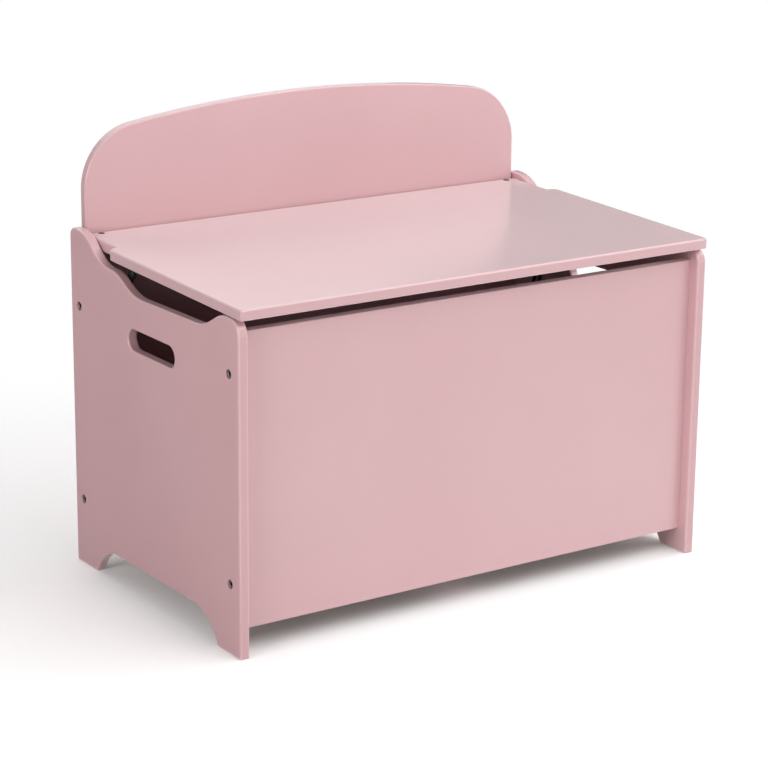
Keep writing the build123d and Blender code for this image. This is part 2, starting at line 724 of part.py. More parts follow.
    # Lid stay, bracket under the lid: a web with a round nose and a flange for two screws
    web_top = -board / 2
    web_front = rivet_back - bracket_length / 2
    web_rear = rivet_back + bracket_length / 2
    nose_front = rivet_back - bracket_nose_radius
    nose_rear = rivet_back + bracket_nose_radius
    with BuildPart() as lid_bracket:
        with BuildSketch(lid_side_view(side * (inner_x - bracket_out))):
            with BuildLine():
                Polyline((web_front, web_top), (web_front, web_top - steel), (nose_front, -rivet_drop))
                ThreePointArc((nose_front, -rivet_drop), (rivet_back, -rivet_drop - bracket_nose_radius),
                              (nose_rear, -rivet_drop))
                Polyline((nose_rear, -rivet_drop), (web_rear, web_top - steel), (web_rear, web_top),
                         (web_front, web_top))
            make_face()
            with Locations((rivet_back, -rivet_drop)):
                Circle(rivet_radius, mode=Mode.SUBTRACT)
        extrude(amount=-side * steel)
        with BuildSketch(lid_side_view(side * (inner_x - bracket_out))):
            with Locations((rivet_back, web_top - steel / 2)):
                Rectangle(bracket_length, steel)
        extrude(amount=-side * (bracket_flange_width + steel))
        with Locations(bracket_underside):
            with Locations((side * bracket_screw_x, rivet_back)):
                with GridLocations(0, bracket_screw_spacing, 1, 2):
                    cut_screw_hole(steel)
    save(lid_bracket.part, f"{side_name}_stay_lid_bracket")

    with BuildPart() as bracket_screws:
        with Locations(bracket_underside):
            with Locations((side * bracket_screw_x, rivet_back)):
                with GridLocations(0, bracket_screw_spacing, 1, 2):
                    add_screw(stay_screw_length)
    save(bracket_screws.part, f"{side_name}_stay_bracket_screws")

    # Rivet through arm and bracket
    outer_head = arm_out - stay_play
    inner_head = bracket_out + steel
    with BuildPart() as rivet:
        for radius, start, length in (
            (rivet_head_radius, outer_head - rivet_head_height, rivet_head_height),
            (rivet_radius, outer_head, inner_head - outer_head),
            (rivet_head_radius, inner_head, rivet_head_height),
        ):
            with BuildSketch(lid_side_view(side * (inner_x - start))):
                with Locations((rivet_back, -rivet_drop)):
                    Circle(radius)
            extrude(amount=-side * length)
    save(rivet.part, f"{side_name}_stay_rivet")

print(f"lid pivot at y {pivot_y:.2f}, z {pivot_z:.2f}")
print(f"stay rivet at y {rivet_y:.2f}, z {rivet_z:.2f}")
print(f"stay stud at y {stud_y:.2f}, z {stud_z:.2f}")
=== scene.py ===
import bmesh
import bpy
import math
from mathutils import Euler, Matrix, Vector


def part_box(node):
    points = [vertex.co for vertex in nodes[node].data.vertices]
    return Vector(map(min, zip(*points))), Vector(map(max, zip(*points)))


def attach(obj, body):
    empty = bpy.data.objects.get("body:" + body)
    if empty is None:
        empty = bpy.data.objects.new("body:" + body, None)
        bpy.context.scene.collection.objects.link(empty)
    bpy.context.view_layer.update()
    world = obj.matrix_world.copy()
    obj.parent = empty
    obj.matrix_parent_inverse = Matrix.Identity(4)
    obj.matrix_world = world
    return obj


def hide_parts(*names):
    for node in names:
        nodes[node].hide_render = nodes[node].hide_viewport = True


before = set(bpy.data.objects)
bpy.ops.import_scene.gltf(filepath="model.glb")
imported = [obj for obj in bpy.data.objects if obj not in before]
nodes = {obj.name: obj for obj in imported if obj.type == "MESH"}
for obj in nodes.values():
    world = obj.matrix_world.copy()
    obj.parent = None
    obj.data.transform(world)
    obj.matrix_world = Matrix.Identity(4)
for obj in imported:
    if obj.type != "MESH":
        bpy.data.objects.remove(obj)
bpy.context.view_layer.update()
print("frame loaded:", len(nodes), "pieces")


def linearColor(hexText):
    # sRGB hex to the linear values that Blender's sockets take
    shares = [int(hexText[i:i + 2], 16) / 255 for i in (1, 3, 5)]
    linear = [s / 12.92 if s <= 0.04045 else ((s + 0.055) / 1.055) ** 2.4 for s in shares]
    return (*linear, 1.0)


def addNode(tree, kind, settings=None, links=None):
    # one shader node, its settings and what feeds it: a socket, or a node's first output in use
    item = tree.nodes.new("ShaderNode" + kind)
    for name, value in (settings or {}).items():
        if isinstance(value, str) and value.startswith("#"):
            value = linearColor(value)
        if isinstance(name, int) or name in item.inputs:
            item.inputs[name].default_value = value
        else:
            setattr(item, name, value)
    for name, source in (links or {}).items():
        if hasattr(source, "outputs"):
            source = next(socket for socket in source.outputs if socket.enabled)
        tree.links.new(source, item.inputs[name])
    return item


def newMaterial(name):
    material = bpy.data.materials.new(name)
    material.use_nodes = True
    tree = material.node_tree
    tree.nodes.clear()
    return material, tree


def dress(names, material):
    # a CAD piece keeps its shape and gets the finish
    for name in names:
        nodes[name].data.materials.clear()
        nodes[name].data.materials.append(material)


# In the finishes, names in Mm are lengths in millimetres

# Sprayed paint on MDF boards: even and satin on the broad faces, a little rougher where the
# machined edges drink the paint, with a low sheen that mirrors a neighbouring board softly
mdfPaint = {
    "color": "#D0A5A9",
    "driftColor": "#D3A9AD",
    "driftMm": 260.0,
    "radiusFilmAndHighlightColor": "#E8C8CB",  # the film is thinner round the small radii, and the lighter tone there is also a painted highlight
    "radiusFilmAndHighlightGain": 1.6,
    "edgeColor": "#CDA1A5",
    "bareAndHoleShadeColor": "#4E3B31",  # bored fibres, bare MDF, darkened further as painted shade inside the hole
    "holeMm": 5.0,  # radius of the holes for the lid's barrel nuts
    "holeMarginMm": 0.6,
    "roughness": {"To Min": 0.41, "To Max": 0.51},
    "edgeRoughness": 0.06,
    "handledMm": 60.0,  # patches that hands have polished
    "coat": 1.0,
    "coatRoughness": 0.17,
    # the boards' sheen weights are painted light: high on the lid and uprights to pale them like lit faces,
    # low on the sides to keep them deep like shaded ones
    "sideHaze": 0.1,
    "uprightHaze": 0.45,
    "lidHaze": 0.58,
    "peelMm": 3.0,  # orange peel is really about 1.5 mm across, drawn coarser so that it shows
    "peelHeightMm": 0.12,
    "fibreMm": 1.6,  # MDF fibre bundles are about 0.5 mm, drawn three times as coarse
    "fibreFlatness": 2.5,  # fibres lie in the plane of the board
    "fibreHeightMm": 0.12,
    "nibMm": 45.0,  # dust nibs, a few to each hand's breadth
    "nibHeightMm": 0.1,
}


def paintedBoard(name, thickness, haze, drilled=None):
    # thickness is the axis the board is thin along, 0 to 2, so the paint knows faces from edges;
    # haze is the weight of a pale sheen at low angles, set per board as painted light: most on the lid,
    # like a lit face, least on the sides, like shaded faces;
    # drilled is the place of one of two holes, left and right, that were bored after painting
    board, tree = newMaterial(name)
    place = addNode(tree, "TexCoord")
    spot = place.outputs["Object"]
    facing = addNode(tree, "SeparateXYZ", None, {"Vector": place.outputs["Normal"]})
    flat = addNode(tree, "Math", {"operation": "ABSOLUTE"}, {0: facing.outputs[thickness]})
    edge = addNode(tree, "MapRange", {
        "interpolation_type": "SMOOTHSTEP", "From Min": 0.75, "From Max": 0.1,
    }, {"Value": flat})
    # the small radii get a lighter tone: partly the thinner film, partly a painted highlight along the
    # edges
    radiusFilmAndHighlight = addNode(tree, "Math", {"operation": "MULTIPLY"}, {0: flat, 1: edge})
    radiusFilmAndHighlight = addNode(tree, "Math", {"operation": "MULTIPLY", 1: mdfPaint["radiusFilmAndHighlightGain"], "use_clamp": True},
                    {0: radiusFilmAndHighlight})

    drift, handled, peel = [
        addNode(tree, "TexNoise", {"Scale": 1000 / mdfPaint[size], "Detail": detail}, {"Vector": spot})
        for size, detail in (("driftMm", 3.0), ("handledMm", 4.0), ("peelMm", 1.0))
    ]
    tints = {"edgeColor": edge, "radiusFilmAndHighlightColor": radiusFilmAndHighlight}
    # the walls of the drilled holes: bare fibres, darkened as painted shade of the hole
    if drilled:
        parts = addNode(tree, "SeparateXYZ", None, {"Vector": spot})
        side = addNode(tree, "Math", {"operation": "ABSOLUTE"}, {0: parts.outputs[0]})
        folded = addNode(tree, "CombineXYZ", None, {"X": side, "Y": parts.outputs[1]})
        away = addNode(tree, "VectorMath", {
            "operation": "DISTANCE", 1: (abs(drilled[0]), drilled[1], 0.0),
        }, {0: folded})
        reach = (mdfPaint["holeMm"] + mdfPaint["holeMarginMm"]) / 1000
        near = addNode(tree, "Math", {"operation": "LESS_THAN", 1: reach}, {0: away})
        tints["bareAndHoleShadeColor"] = addNode(tree, "Math", {"operation": "MULTIPLY"}, {0: near, 1: edge})
    drift = addNode(tree, "MapRange", {"From Min": 0.35, "From Max": 0.65}, {"Value": drift})
    tone = addNode(tree, "Mix", {"data_type": "RGBA", 6: mdfPaint["color"], 7: mdfPaint["driftColor"]},
                   {0: drift})
    for tint, share in tints.items():
        tone = addNode(tree, "Mix", {"data_type": "RGBA", 7: mdfPaint[tint]}, {0: share, 6: tone})

    rough = addNode(tree, "MapRange", {"From Min": 0.3, "From Max": 0.7, **mdfPaint["roughness"]},
                    {"Value": handled})
    rough = addNode(tree, "Math", {"operation": "MULTIPLY_ADD", 1: mdfPaint["edgeRoughness"]},
                    {0: edge, 2: rough})

    stretch = [1.0, 1.0, 1.0]
    stretch[thickness] = mdfPaint["fibreFlatness"]
    along = addNode(tree, "Mapping", {"Scale": stretch}, {"Vector": spot})
    fibre = addNode(tree, "TexNoise", {"Scale": 1000 / mdfPaint["fibreMm"], "Detail": 3.0},
                    {"Vector": along})
    fibre = addNode(tree, "Math", {"operation": "MULTIPLY"}, {0: fibre, 1: edge})
    nibs = addNode(tree, "TexVoronoi", {"Scale": 1000 / mdfPaint["nibMm"]}, {"Vector": spot})
    nibs = addNode(tree, "MapRange", {"From Min": 0.02, "From Max": 0.0}, {"Value": nibs})
    relief = addNode(tree, "Bump", {"Distance": mdfPaint["peelHeightMm"] / 1000}, {"Height": peel})
    for pattern, height, strength in ((fibre, "fibreHeightMm", 1.0), (nibs, "nibHeightMm", 0.6)):
        relief = addNode(tree, "Bump", {"Strength": strength, "Distance": mdfPaint[height] / 1000},
                         {"Height": pattern, "Normal": relief})

    shader = addNode(tree, "BsdfPrincipled", {
        "IOR": 1.5,
        "Coat Weight": mdfPaint["coat"],
        "Coat Roughness": mdfPaint["coatRoughness"],
        "Coat IOR": 1.5,
        "Sheen Weight": haze,
        "Sheen Roughness": 0.5,
    }, {"Base Color": tone, "Roughness": rough, "Normal": relief})
    addNode(tree, "OutputMaterial", None, {"Surface": shader})
    return board


low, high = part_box("lid_barrel_nuts")
nutHole = (high[0] - mdfPaint["holeMm"] / 1000, (low[1] + high[1]) / 2)
# the paints differ only in sheen, which is set per board as painted light
dress(["left_side_panel", "right_side_panel"],
      paintedBoard("satinPaintSideBoards", 0, mdfPaint["sideHaze"]))
dress(["front_panel", "back_panel", "backrest"],
      paintedBoard("satinPaintUprightBoards", 1, mdfPaint["uprightHaze"]))
dress(["floor_rail"], paintedBoard("satinPaintRail", 2, mdfPaint["sideHaze"]))
dress(["lid"], paintedBoard("satinPaintLid", 2, mdfPaint["lidHaze"], nutHole))

# Hardboard floor: painted above, bare brown below with the print of the pressing screen
hardboard = {
    "paint": "#D0A5A9",
    "bare": "#6B4A32",
    "fleck": "#8A6747",
    "flecksPerMetre": 450.0,  # about 2 mm apart
    "screenMm": 2.5,  # a pressing screen's wires are about 1.5 mm apart
    "screenHeightMm": 0.12,
    "roughness": {"To Min": 0.45, "To Max": 0.8},
}
board, tree = newMaterial("screenBackHardboard")
place = addNode(tree, "TexCoord")
spot = place.outputs["Object"]
facing = addNode(tree, "SeparateXYZ", None, {"Vector": place.outputs["Normal"]})
below = addNode(tree, "MapRange", {"From Min": 0.3, "From Max": -0.3}, {"Value": facing.outputs[2]})
flecks = addNode(tree, "TexNoise", {"Scale": hardboard["flecksPerMetre"], "Detail": 4.0}, {"Vector": spot})
bare = addNode(tree, "Mix", {"data_type": "RGBA", 6: hardboard["bare"], 7: hardboard["fleck"]}, {0: flecks})
tone = addNode(tree, "Mix", {"data_type": "RGBA", 6: hardboard["paint"]}, {0: below, 7: bare})
parts = addNode(tree, "SeparateXYZ", None, {"Vector": spot})
wires = []
for axis in (0, 1):
    wire = addNode(tree, "Math", {"operation": "MULTIPLY", 1: math.tau * 1000 / hardboard["screenMm"]},
                   {0: parts.outputs[axis]})
    wires.append(addNode(tree, "Math", {"operation": "SINE"}, {0: wire}))
screen = addNode(tree, "Math", {"operation": "MULTIPLY"}, {0: wires[0], 1: wires[1]})
screen = addNode(tree, "Math", {"operation": "MULTIPLY"}, {0: screen, 1: below})
relief = addNode(tree, "Bump", {"Distance": hardboard["screenHeightMm"] / 1000}, {"Height": screen})
rough = addNode(tree, "MapRange", hardboard["roughness"], {"Value": below})
shader = addNode(tree, "BsdfPrincipled", {"IOR": 1.5},
                 {"Base Color": tone, "Roughness": rough, "Normal": relief})
addNode(tree, "OutputMaterial", None, {"Surface": shader})
dress(["floor_board"], board)

# Zinc plate on turned and rolled steel: bright, with a faint blue and straw cast from passivation
zincPlate = {
    "color": "#B9BABB", "blueCast": "#B2B6BB", "strawCast": "#BCBAB2", "castMm": 4.0,
    "roughness": {"To Min": 0.26, "To Max": 0.46}, "grainMm": 0.5, "grainHeightMm": 0.03,
}
zinc, tree = newMaterial("zincPlatedSteel")
spot = addNode(tree, "TexCoord").outputs["Object"]
cast = addNode(tree, "TexNoise", {"Scale": 1000 / zincPlate["castMm"]}, {"Vector": spot})
ramp = addNode(tree, "ValToRGB", None, {"Fac": cast})
stops = ramp.color_ramp.elements
stops[0].position, stops[1].position = 0.35, 0.65
stops[0].color = linearColor(zincPlate["blueCast"])
stops[1].color = linearColor(zincPlate["strawCast"])
stops.new(0.5).color = linearColor(zincPlate["color"])
grain = addNode(tree, "TexNoise", {"Scale": 1000 / zincPlate["grainMm"]}, {"Vector": spot})
rough = addNode(tree, "MapRange", zincPlate["roughness"], {"Value": grain})
relief = addNode(tree, "Bump", {"Strength": 0.4, "Distance": zincPlate["grainHeightMm"] / 1000},
                 {"Height": grain})
shader = addNode(tree, "BsdfPrincipled", {"Metallic": 1.0},
                 {"Base Color": ramp, "Roughness": rough, "Normal": relief})
addNode(tree, "OutputMaterial", None, {"Surface": shader})

# Inside the sockets: painted shade, a near-black steel colour that stands for the shade deep in the
# sockets, mottled at random
paintedSocketShade = {
    "color": "#2B2725", "mottle": "#3A342F", "mottleMm": 1.0, "roughness": {"To Min": 0.45, "To Max": 0.65},
}
socketShadeFinish, tree = newMaterial("socketPaintedShadeSteel")
spot = addNode(tree, "TexCoord").outputs["Object"]
mottle = addNode(tree, "TexNoise", {"Scale": 1000 / paintedSocketShade["mottleMm"]}, {"Vector": spot})
tone = addNode(tree, "Mix", {"data_type": "RGBA", 6: paintedSocketShade["color"], 7: paintedSocketShade["mottle"]}, {0: mottle})
rough = addNode(tree, "MapRange", paintedSocketShade["roughness"], {"Value": mottle})
shader = addNode(tree, "BsdfPrincipled", {"Metallic": 1.0}, {"Base Color": tone, "Roughness": rough})
addNode(tree, "OutputMaterial", None, {"Surface": shader})

# Black electrocoat on pressed steel: an even thin film, semi-matt, greyer where it rubs
blackCoat = {
    "color": "#171718", "rubbed": "#3A3A3B", "rubMm": 9.0,
    "roughness": {"To Min": 0.34, "To Max": 0.52}, "grainMm": 0.8, "grainHeightMm": 0.04,
}
black, tree = newMaterial("blackElectrocoatSteel")
spot = addNode(tree, "TexCoord").outputs["Object"]
rubs = addNode(tree, "TexNoise", {
    "Scale": 1000 / blackCoat["rubMm"], "Detail": 5.0, "Roughness": 0.65,
}, {"Vector": spot})
rubs = addNode(tree, "MapRange", {"From Min": 0.55, "From Max": 0.8}, {"Value": rubs})
tone = addNode(tree, "Mix", {"data_type": "RGBA", 6: blackCoat["color"], 7: blackCoat["rubbed"]}, {0: rubs})
grain = addNode(tree, "TexNoise", {"Scale": 1000 / blackCoat["grainMm"]}, {"Vector": spot})
rough = addNode(tree, "MapRange", blackCoat["roughness"], {"Value": grain})
relief = addNode(tree, "Bump", {"Strength": 0.5, "Distance": blackCoat["grainHeightMm"] / 1000},
                 {"Height": grain})
shader = addNode(tree, "BsdfPrincipled", {"IOR": 1.5},
                 {"Base Color": tone, "Roughness": rough, "Normal": relief})
addNode(tree, "OutputMaterial", None, {"Surface": shader})

# Natural nylon, injection moulded: milky, a little see-through at thin rims, with spark texture
nylonMould = {
    "color": "#E6E3D8", "cloud": "#DCD7C8", "cloudMm": 5.0,
    "roughness": 0.42, "sparkMm": 0.4, "sparkHeightMm": 0.03,
    "lightReachMm": 1.5,  # how far light spreads inside it
}
nylon, tree = newMaterial("naturalNylon")
spot = addNode(tree, "TexCoord").outputs["Object"]
cloud = addNode(tree, "TexNoise", {"Scale": 1000 / nylonMould["cloudMm"]}, {"Vector": spot})
tone = addNode(tree, "Mix", {"data_type": "RGBA", 6: nylonMould["color"], 7: nylonMould["cloud"]},
               {0: cloud})
spark = addNode(tree, "TexNoise", {"Scale": 1000 / nylonMould["sparkMm"], "Detail": 1.0}, {"Vector": spot})
relief = addNode(tree, "Bump", {"Strength": 0.5, "Distance": nylonMould["sparkHeightMm"] / 1000},
                 {"Height": spark})
shader = addNode(tree, "BsdfPrincipled", {
    "Roughness": nylonMould["roughness"],
    "IOR": 1.53,
    "Subsurface Weight": 0.25,
    "Subsurface Scale": nylonMould["lightReachMm"] / 1000,
}, {"Base Color": tone, "Normal": relief})
addNode(tree, "OutputMaterial", None, {"Surface": shader})

# Clear polyurethane bumper: cast, so it is glassy and bends what lies under it
bumperCast = {
    "color": "#EEF0EE",
    "roughness": {"To Min": 0.12, "To Max": 0.32},
    "dustPerMetre": 900.0,  # specks about 1 mm apart
}
clear, tree = newMaterial("clearPolyurethane")
spot = addNode(tree, "TexCoord").outputs["Object"]
dust = addNode(tree, "TexNoise", {"Scale": bumperCast["dustPerMetre"], "Detail": 3.0}, {"Vector": spot})
rough = addNode(tree, "MapRange", bumperCast["roughness"], {"Value": dust})
shader = addNode(tree, "BsdfPrincipled", {
    "Base Color": bumperCast["color"],
    "IOR": 1.49,
    "Transmission Weight": 0.85,
}, {"Roughness": rough})
addNode(tree, "OutputMaterial", None, {"Surface": shader})

# Beech rod for dowels: pale and close grained, with the short dark flecks of its rays
beechRod = {
    "color": "#D3AC80", "late": "#BC8F62", "fleck": "#8F6540",
    "ringMm": 2.2, "ringHeightMm": 0.08, "fleckMm": 1.2,
    "lengthwise": 0.06,  # grain is drawn out along the rod
    "roughness": {"To Min": 0.55, "To Max": 0.7},
}


def beechWood(name, axis):
    # axis is the one the rod lies along
    wood, tree = newMaterial(name)
    spot = addNode(tree, "TexCoord").outputs["Object"]
    stretch = [1.0, 1.0, 1.0]
    stretch[axis] = beechRod["lengthwise"]
    along = addNode(tree, "Mapping", {"Scale": stretch}, {"Vector": spot})
    rings = addNode(tree, "TexNoise", {"Scale": 1000 / beechRod["ringMm"], "Detail": 3.0},
                    {"Vector": along})
    tone = addNode(tree, "Mix", {"data_type": "RGBA", 6: beechRod["color"], 7: beechRod["late"]},
                   {0: rings})
    rays = addNode(tree, "TexNoise", {"Scale": 1000 / beechRod["fleckMm"], "Detail": 1.0},
                   {"Vector": along})
    rays = addNode(tree, "MapRange", {"From Min": 0.66, "From Max": 0.74}, {"Value": rays})
    tone = addNode(tree, "Mix", {"data_type": "RGBA", 7: beechRod["fleck"]}, {0: rays, 6: tone})
    relief = addNode(tree, "Bump", {"Strength": 0.5, "Distance": beechRod["ringHeightMm"] / 1000},
                     {"Height": rings})
    rough = addNode(tree, "MapRange", beechRod["roughness"], {"Value": rings})
    shader = addNode(tree, "BsdfPrincipled", {"IOR": 1.5},
                     {"Base Color": tone, "Roughness": rough, "Normal": relief})
    addNode(tree, "OutputMaterial", None, {"Surface": shader})
    return wood


# what a piece is made of: its materials, and the name of the slot that its finish belongs to; addPiece does
# not use the name
platedSteel = ([zinc], "zinc_plated_steel")
# the second material is painted shade inside the sockets
socketedSteel = ([zinc, socketShadeFinish], "zinc_plated_steel")
coatedSteel = ([black], "black_steel")
mouldedNylon = ([nylon], "nylon")
castBumper = ([clear], "clear_bumper")
print("finishes ready")


def smoothed(mesh):
    # smooth curves with crisp corners where faces meet at more than 38 degrees
    mesh.shade_smooth()
    mesh.set_sharp_from_angle(angle=math.radians(38.0))
    return mesh


def finishMesh(build, name):
    mesh = bpy.data.meshes.new(name)
    bmesh.ops.recalc_face_normals(build, faces=build.faces)
    build.to_mesh(mesh)
    build.free()
    return smoothed(mesh)


def addCorner(build, reach, angle, height):
    # a vertex by its distance from the Z axis, its angle and its height, in mm
    return build.verts.new((reach * math.cos(angle) / 1000, reach * math.sin(angle) / 1000, height / 1000))


def stackRings(name, rings, segments=48, hollow=False, secondFinish=math.inf):
    # a turned piece on its own Z axis: each ring is a height and a radius, or a radius for each
    # angle, in mm; faces from the ring numbered secondFinish on take the piece's second material
    build = bmesh.new()
    loops = []
    for height, radius in rings:
        loop = []
        for step in range(segments):
            angle = math.tau * step / segments
            reach = radius(angle) if callable(radius) else radius
            loop.append(addCorner(build, reach, angle, height))
        loops.append(loop)
    uppers = loops[1:] + (loops[:1] if hollow else [])
    for index, (lower, upper) in enumerate(zip(loops, uppers)):
        for step in range(segments):
            after = (step + 1) % segments
            face = build.faces.new((lower[step], lower[after], upper[after], upper[step]))
            face.material_index = int(index >= secondFinish)
    if not hollow:
        build.faces.new(loops[0])
        build.faces.new(loops[-1]).material_index = int(len(loops) > secondFinish)
    return finishMesh(build, name)


def hexagon(flats, limit=math.inf):
    # a hexagon's edge by angle, cut back by a chamfer of radius limit
    def reach(angle):
        turn = (angle + math.pi / 6) % (math.pi / 3) - math.pi / 6
        return min(flats / 2 / math.cos(turn), limit)
    return reach


def crossRecess(length, width):
    # the edge by angle of two bars that cross; tiny keeps the divisions from zero
    tiny = 1e-6

    def reach(angle):
        along = abs(math.cos(angle)) + tiny
        across = abs(math.sin(angle)) + tiny
        bars = (min(length / 2 / along, width / 2 / across), min(width / 2 / along, length / 2 / across))
        return max(bars)
    return reach


def threadRings(start, stop, thread, taper=0.0):
    # a ridge that climbs one pitch in each turn, between the heights start and stop; taper
    # narrows the first millimetres towards a blunt point
    radius, depth, pitch = thread
    blunt = 0.08
    ringsPerTurn = 4
    rows = math.ceil((stop - start) / pitch * ringsPerTurn)
    rings = []
    for row in range(rows + 1):
        height = start + (stop - start) * row / rows
        share = min(1.0, (height - start) / taper + blunt) if taper else 1.0

        def reach(angle, height=height, share=share):
            phase = (height / pitch - angle / math.tau) % 1
            return (radius - depth * abs(2 * phase - 1)) * share
        rings.append((height, reach))
    return rings


def placed(point, direction):
    # stands a piece's own Z axis along direction, with its origin at point
    return Matrix.Translation(point) @ Vector(direction).to_track_quat("Z", "Y").to_matrix().to_4x4()


def flatPlate(point, along, up):
    # lays a blank's own X along one direction and its Z along another
    along, up = Vector(along).normalized(), Vector(up).normalized()
    across = up.cross(along)
    return Matrix.Translation(point) @ Matrix((along, across, up)).transposed().to_4x4()


def addObject(name, data):
    item = bpy.data.objects.new(name, data)
    bpy.context.scene.collection.objects.link(item)
    return item


def addPiece(name, copies, body, stands, finish):
    # copies of meshes joined as one piece that stands for CAD nodes and rides on a body
    build = bmesh.new()
    for mesh, place in copies:
        known = len(build.verts)
        build.from_mesh(mesh)
        build.verts.ensure_lookup_table()
        bmesh.ops.transform(build, matrix=place, verts=build.verts[known:])
    bmesh.ops.recalc_face_normals(build, faces=build.faces)
    mesh = bpy.data.meshes.new(name)
    build.to_mesh(mesh)
    build.free()
    materials, slotName = finish
    for material in materials:
        mesh.materials.append(material)
    piece = addObject(name, mesh)
    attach(piece, body)
    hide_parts(*stands)


def evaluated(item):
    # an object's mesh with its modifiers or its bevel applied
    bpy.context.view_layer.update()
    return bpy.data.meshes.new_from_object(item.evaluated_get(bpy.context.evaluated_depsgraph_get()))


def cutAway(mesh, tools):
    # takes the tools' shapes out of a mesh
    block = addObject("block", mesh)
    cutters = [addObject("cutter", tool) for tool in tools]
    for cutter in cutters:
        change = block.modifiers.new("cut", "BOOLEAN")
        change.operation = "DIFFERENCE"
        change.object = cutter
    result = evaluated(block)
    for item in [block, *cutters]:
        bpy.data.objects.remove(item)
    return result


def corners(node, inset):
    # lowest and highest corner of a CAD node, drawn in by inset mm on each axis
    low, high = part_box(node)
    inset = Vector(inset) / 1000
    return low + inset, high - inset


def middle(node):
    low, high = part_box(node)
    return (low + high) / 2


def lengthOf(node):
    # from left to right, in mm
    low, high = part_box(node)
    return (high[0] - low[0]) * 1000


def endOf(node, side):
    # where a CAD node ends on the left, -1, or on the right, 1
    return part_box(node)[int(side > 0)][0]


def intoNode(mesh, node, side, axis):
    # a copy of a mesh that starts at one end of a CAD node and runs into it, on an axis along X
    return mesh, placed((endOf(node, side), axis[1], axis[2]), (-side, 0, 0))


# From here on, the values in the dictionaries are lengths in mm unless a note says otherwise

# Metric threads of bolts and pins, with a blunt tip
boltThread = {"radius": 3.0, "pitch": 1.0, "depth": 0.55, "tipRadius": 2.1, "tipLength": 0.9, "runOut": 0.6}


def boltTip(stop):
    # the first rings of a bolt or pin: its blunt tip, and its thread up to stop
    thread = (boltThread["radius"], boltThread["depth"], boltThread["pitch"])
    return [(0.0, boltThread["tipRadius"]), *threadRings(boltThread["tipLength"], stop, thread)]


# Connector bolts in their counterbores, socket outwards
panelBolt = {
    "headRadius": 5.0, "headHeight": 5.0, "headEase": 0.6, "footEase": 0.2,
    "fillet": 0.3,  # between shank and head
    "socketFlats": 5.0, "socketEase": 0.35, "socketDepth": 3.4,
    "drillRadius": 2.2, "drillDepth": 0.8,  # the drill's print in the socket's floor
    "threadLength": 34.0,
    "washerRadius": 6.0, "washerBore": 3.4, "washerThickness": 1.0,
}
length = lengthOf("left_panel_bolts")
seat = length - panelBolt["headHeight"]
floor = length - panelBolt["socketDepth"]
radius, ease, fillet = panelBolt["headRadius"], panelBolt["headEase"], panelBolt["fillet"]
shank, foot = boltThread["radius"], panelBolt["footEase"]
flats, socketEase = panelBolt["socketFlats"], panelBolt["socketEase"]
boltRings = [
    *boltTip(panelBolt["threadLength"]),
    (panelBolt["threadLength"] + boltThread["runOut"], shank),
    (seat - fillet, shank),
    (seat, shank + fillet),
    (seat, radius - foot),
    (seat + foot, radius),
    (length - ease, radius),
    (length - ease * 0.3, radius - ease * 0.3),
    (length, radius - ease),
    (length, hexagon(flats + 2 * socketEase)),
    (length - socketEase, hexagon(flats)),
    (floor, hexagon(flats)),
    (floor, panelBolt["drillRadius"]),
    (floor - panelBolt["drillDepth"], 0.2),
]
# faces from the socket's wall inwards take the second material, painted shade
boltMesh = stackRings("panelBolt", boltRings, secondFinish=len(boltRings) - 4)
radius, bore, thick = panelBolt["washerRadius"], panelBolt["washerBore"], panelBolt["washerThickness"]
boltWasherMesh = stackRings("boltWasher", [
    (0.0, bore), (0.0, radius - 0.25), (0.15, radius),
    (thick - 0.25, radius), (thick, radius - 0.3), (thick, bore),
], hollow=True)
for sideName, side in (("left", -1), ("right", 1)):
    boltNode, washerNode = f"{sideName}_panel_bolts", f"{sideName}_bolt_washers"
    low, high = corners(boltNode, (0, panelBolt["headRadius"], panelBolt["headRadius"]))
    axes = [(0, y, z) for y in (low[1], high[1]) for z in (low[2], high[2])]
    bolts = [intoNode(boltMesh, boltNode, -side, axis) for axis in axes]
    washers = [intoNode(boltWasherMesh, washerNode, -side, axis) for axis in axes]
    addPiece(f"{sideName}PanelBolts", bolts, "box", [boltNode], socketedSteel)
    addPiece(f"{sideName}BoltWashers", washers, "box", [washerNode], platedSteel)
print("panel bolts in place")

# Barrel nuts: slotted so that they can be turned to face their bolt
barrelNut = {
    "radius": 5.0, "length": 11.4, "ease": 0.5,
    "boreRadius": 2.6, "slotWidth": 1.2, "slotDepth": 1.0,
}
radius, length, ease = barrelNut["radius"], barrelNut["length"], barrelNut["ease"]
nutBody = stackRings("barrelNut", [
    (0.0, radius - ease), (ease, radius), (length - ease, radius), (length, radius - ease),
])
drillReach = radius + 3.0  # right through, and out on both sides
nutBore = stackRings("nutBore", [(end, barrelNut["boreRadius"]) for end in (-drillReach, drillReach)])
nutBore.transform(Matrix.Translation((0, 0, length / 2000)) @ Matrix.Rotation(math.pi / 2, 4, "Y"))
build = bmesh.new()
bmesh.ops.create_cube(build, size=1.0)
slotSize = Vector((4 * radius, barrelNut["slotWidth"], 2 * barrelNut["slotDepth"])) / 1000
bmesh.ops.scale(build, vec=slotSize, verts=build.verts)
bmesh.ops.translate(build, vec=(0, 0, length / 1000), verts=build.verts)
nutMesh = smoothed(cutAway(nutBody, [nutBore, finishMesh(build, "nutSlot")]))
for panelName, facing in (("front", 1), ("back", -1)):
    node = f"{panelName}_panel_barrel_nuts"
    low, high = corners(node, (radius, 0, radius))
    base = low[1] if facing > 0 else high[1]
    seats = [(x, base, z) for x in (low[0], high[0]) for z in (low[2], high[2])]
    copies = [(nutMesh, placed(seat, (0, facing, 0))) for seat in seats]
    addPiece(f"{panelName}PanelBarrelNuts", copies, "box", [node], platedSteel)

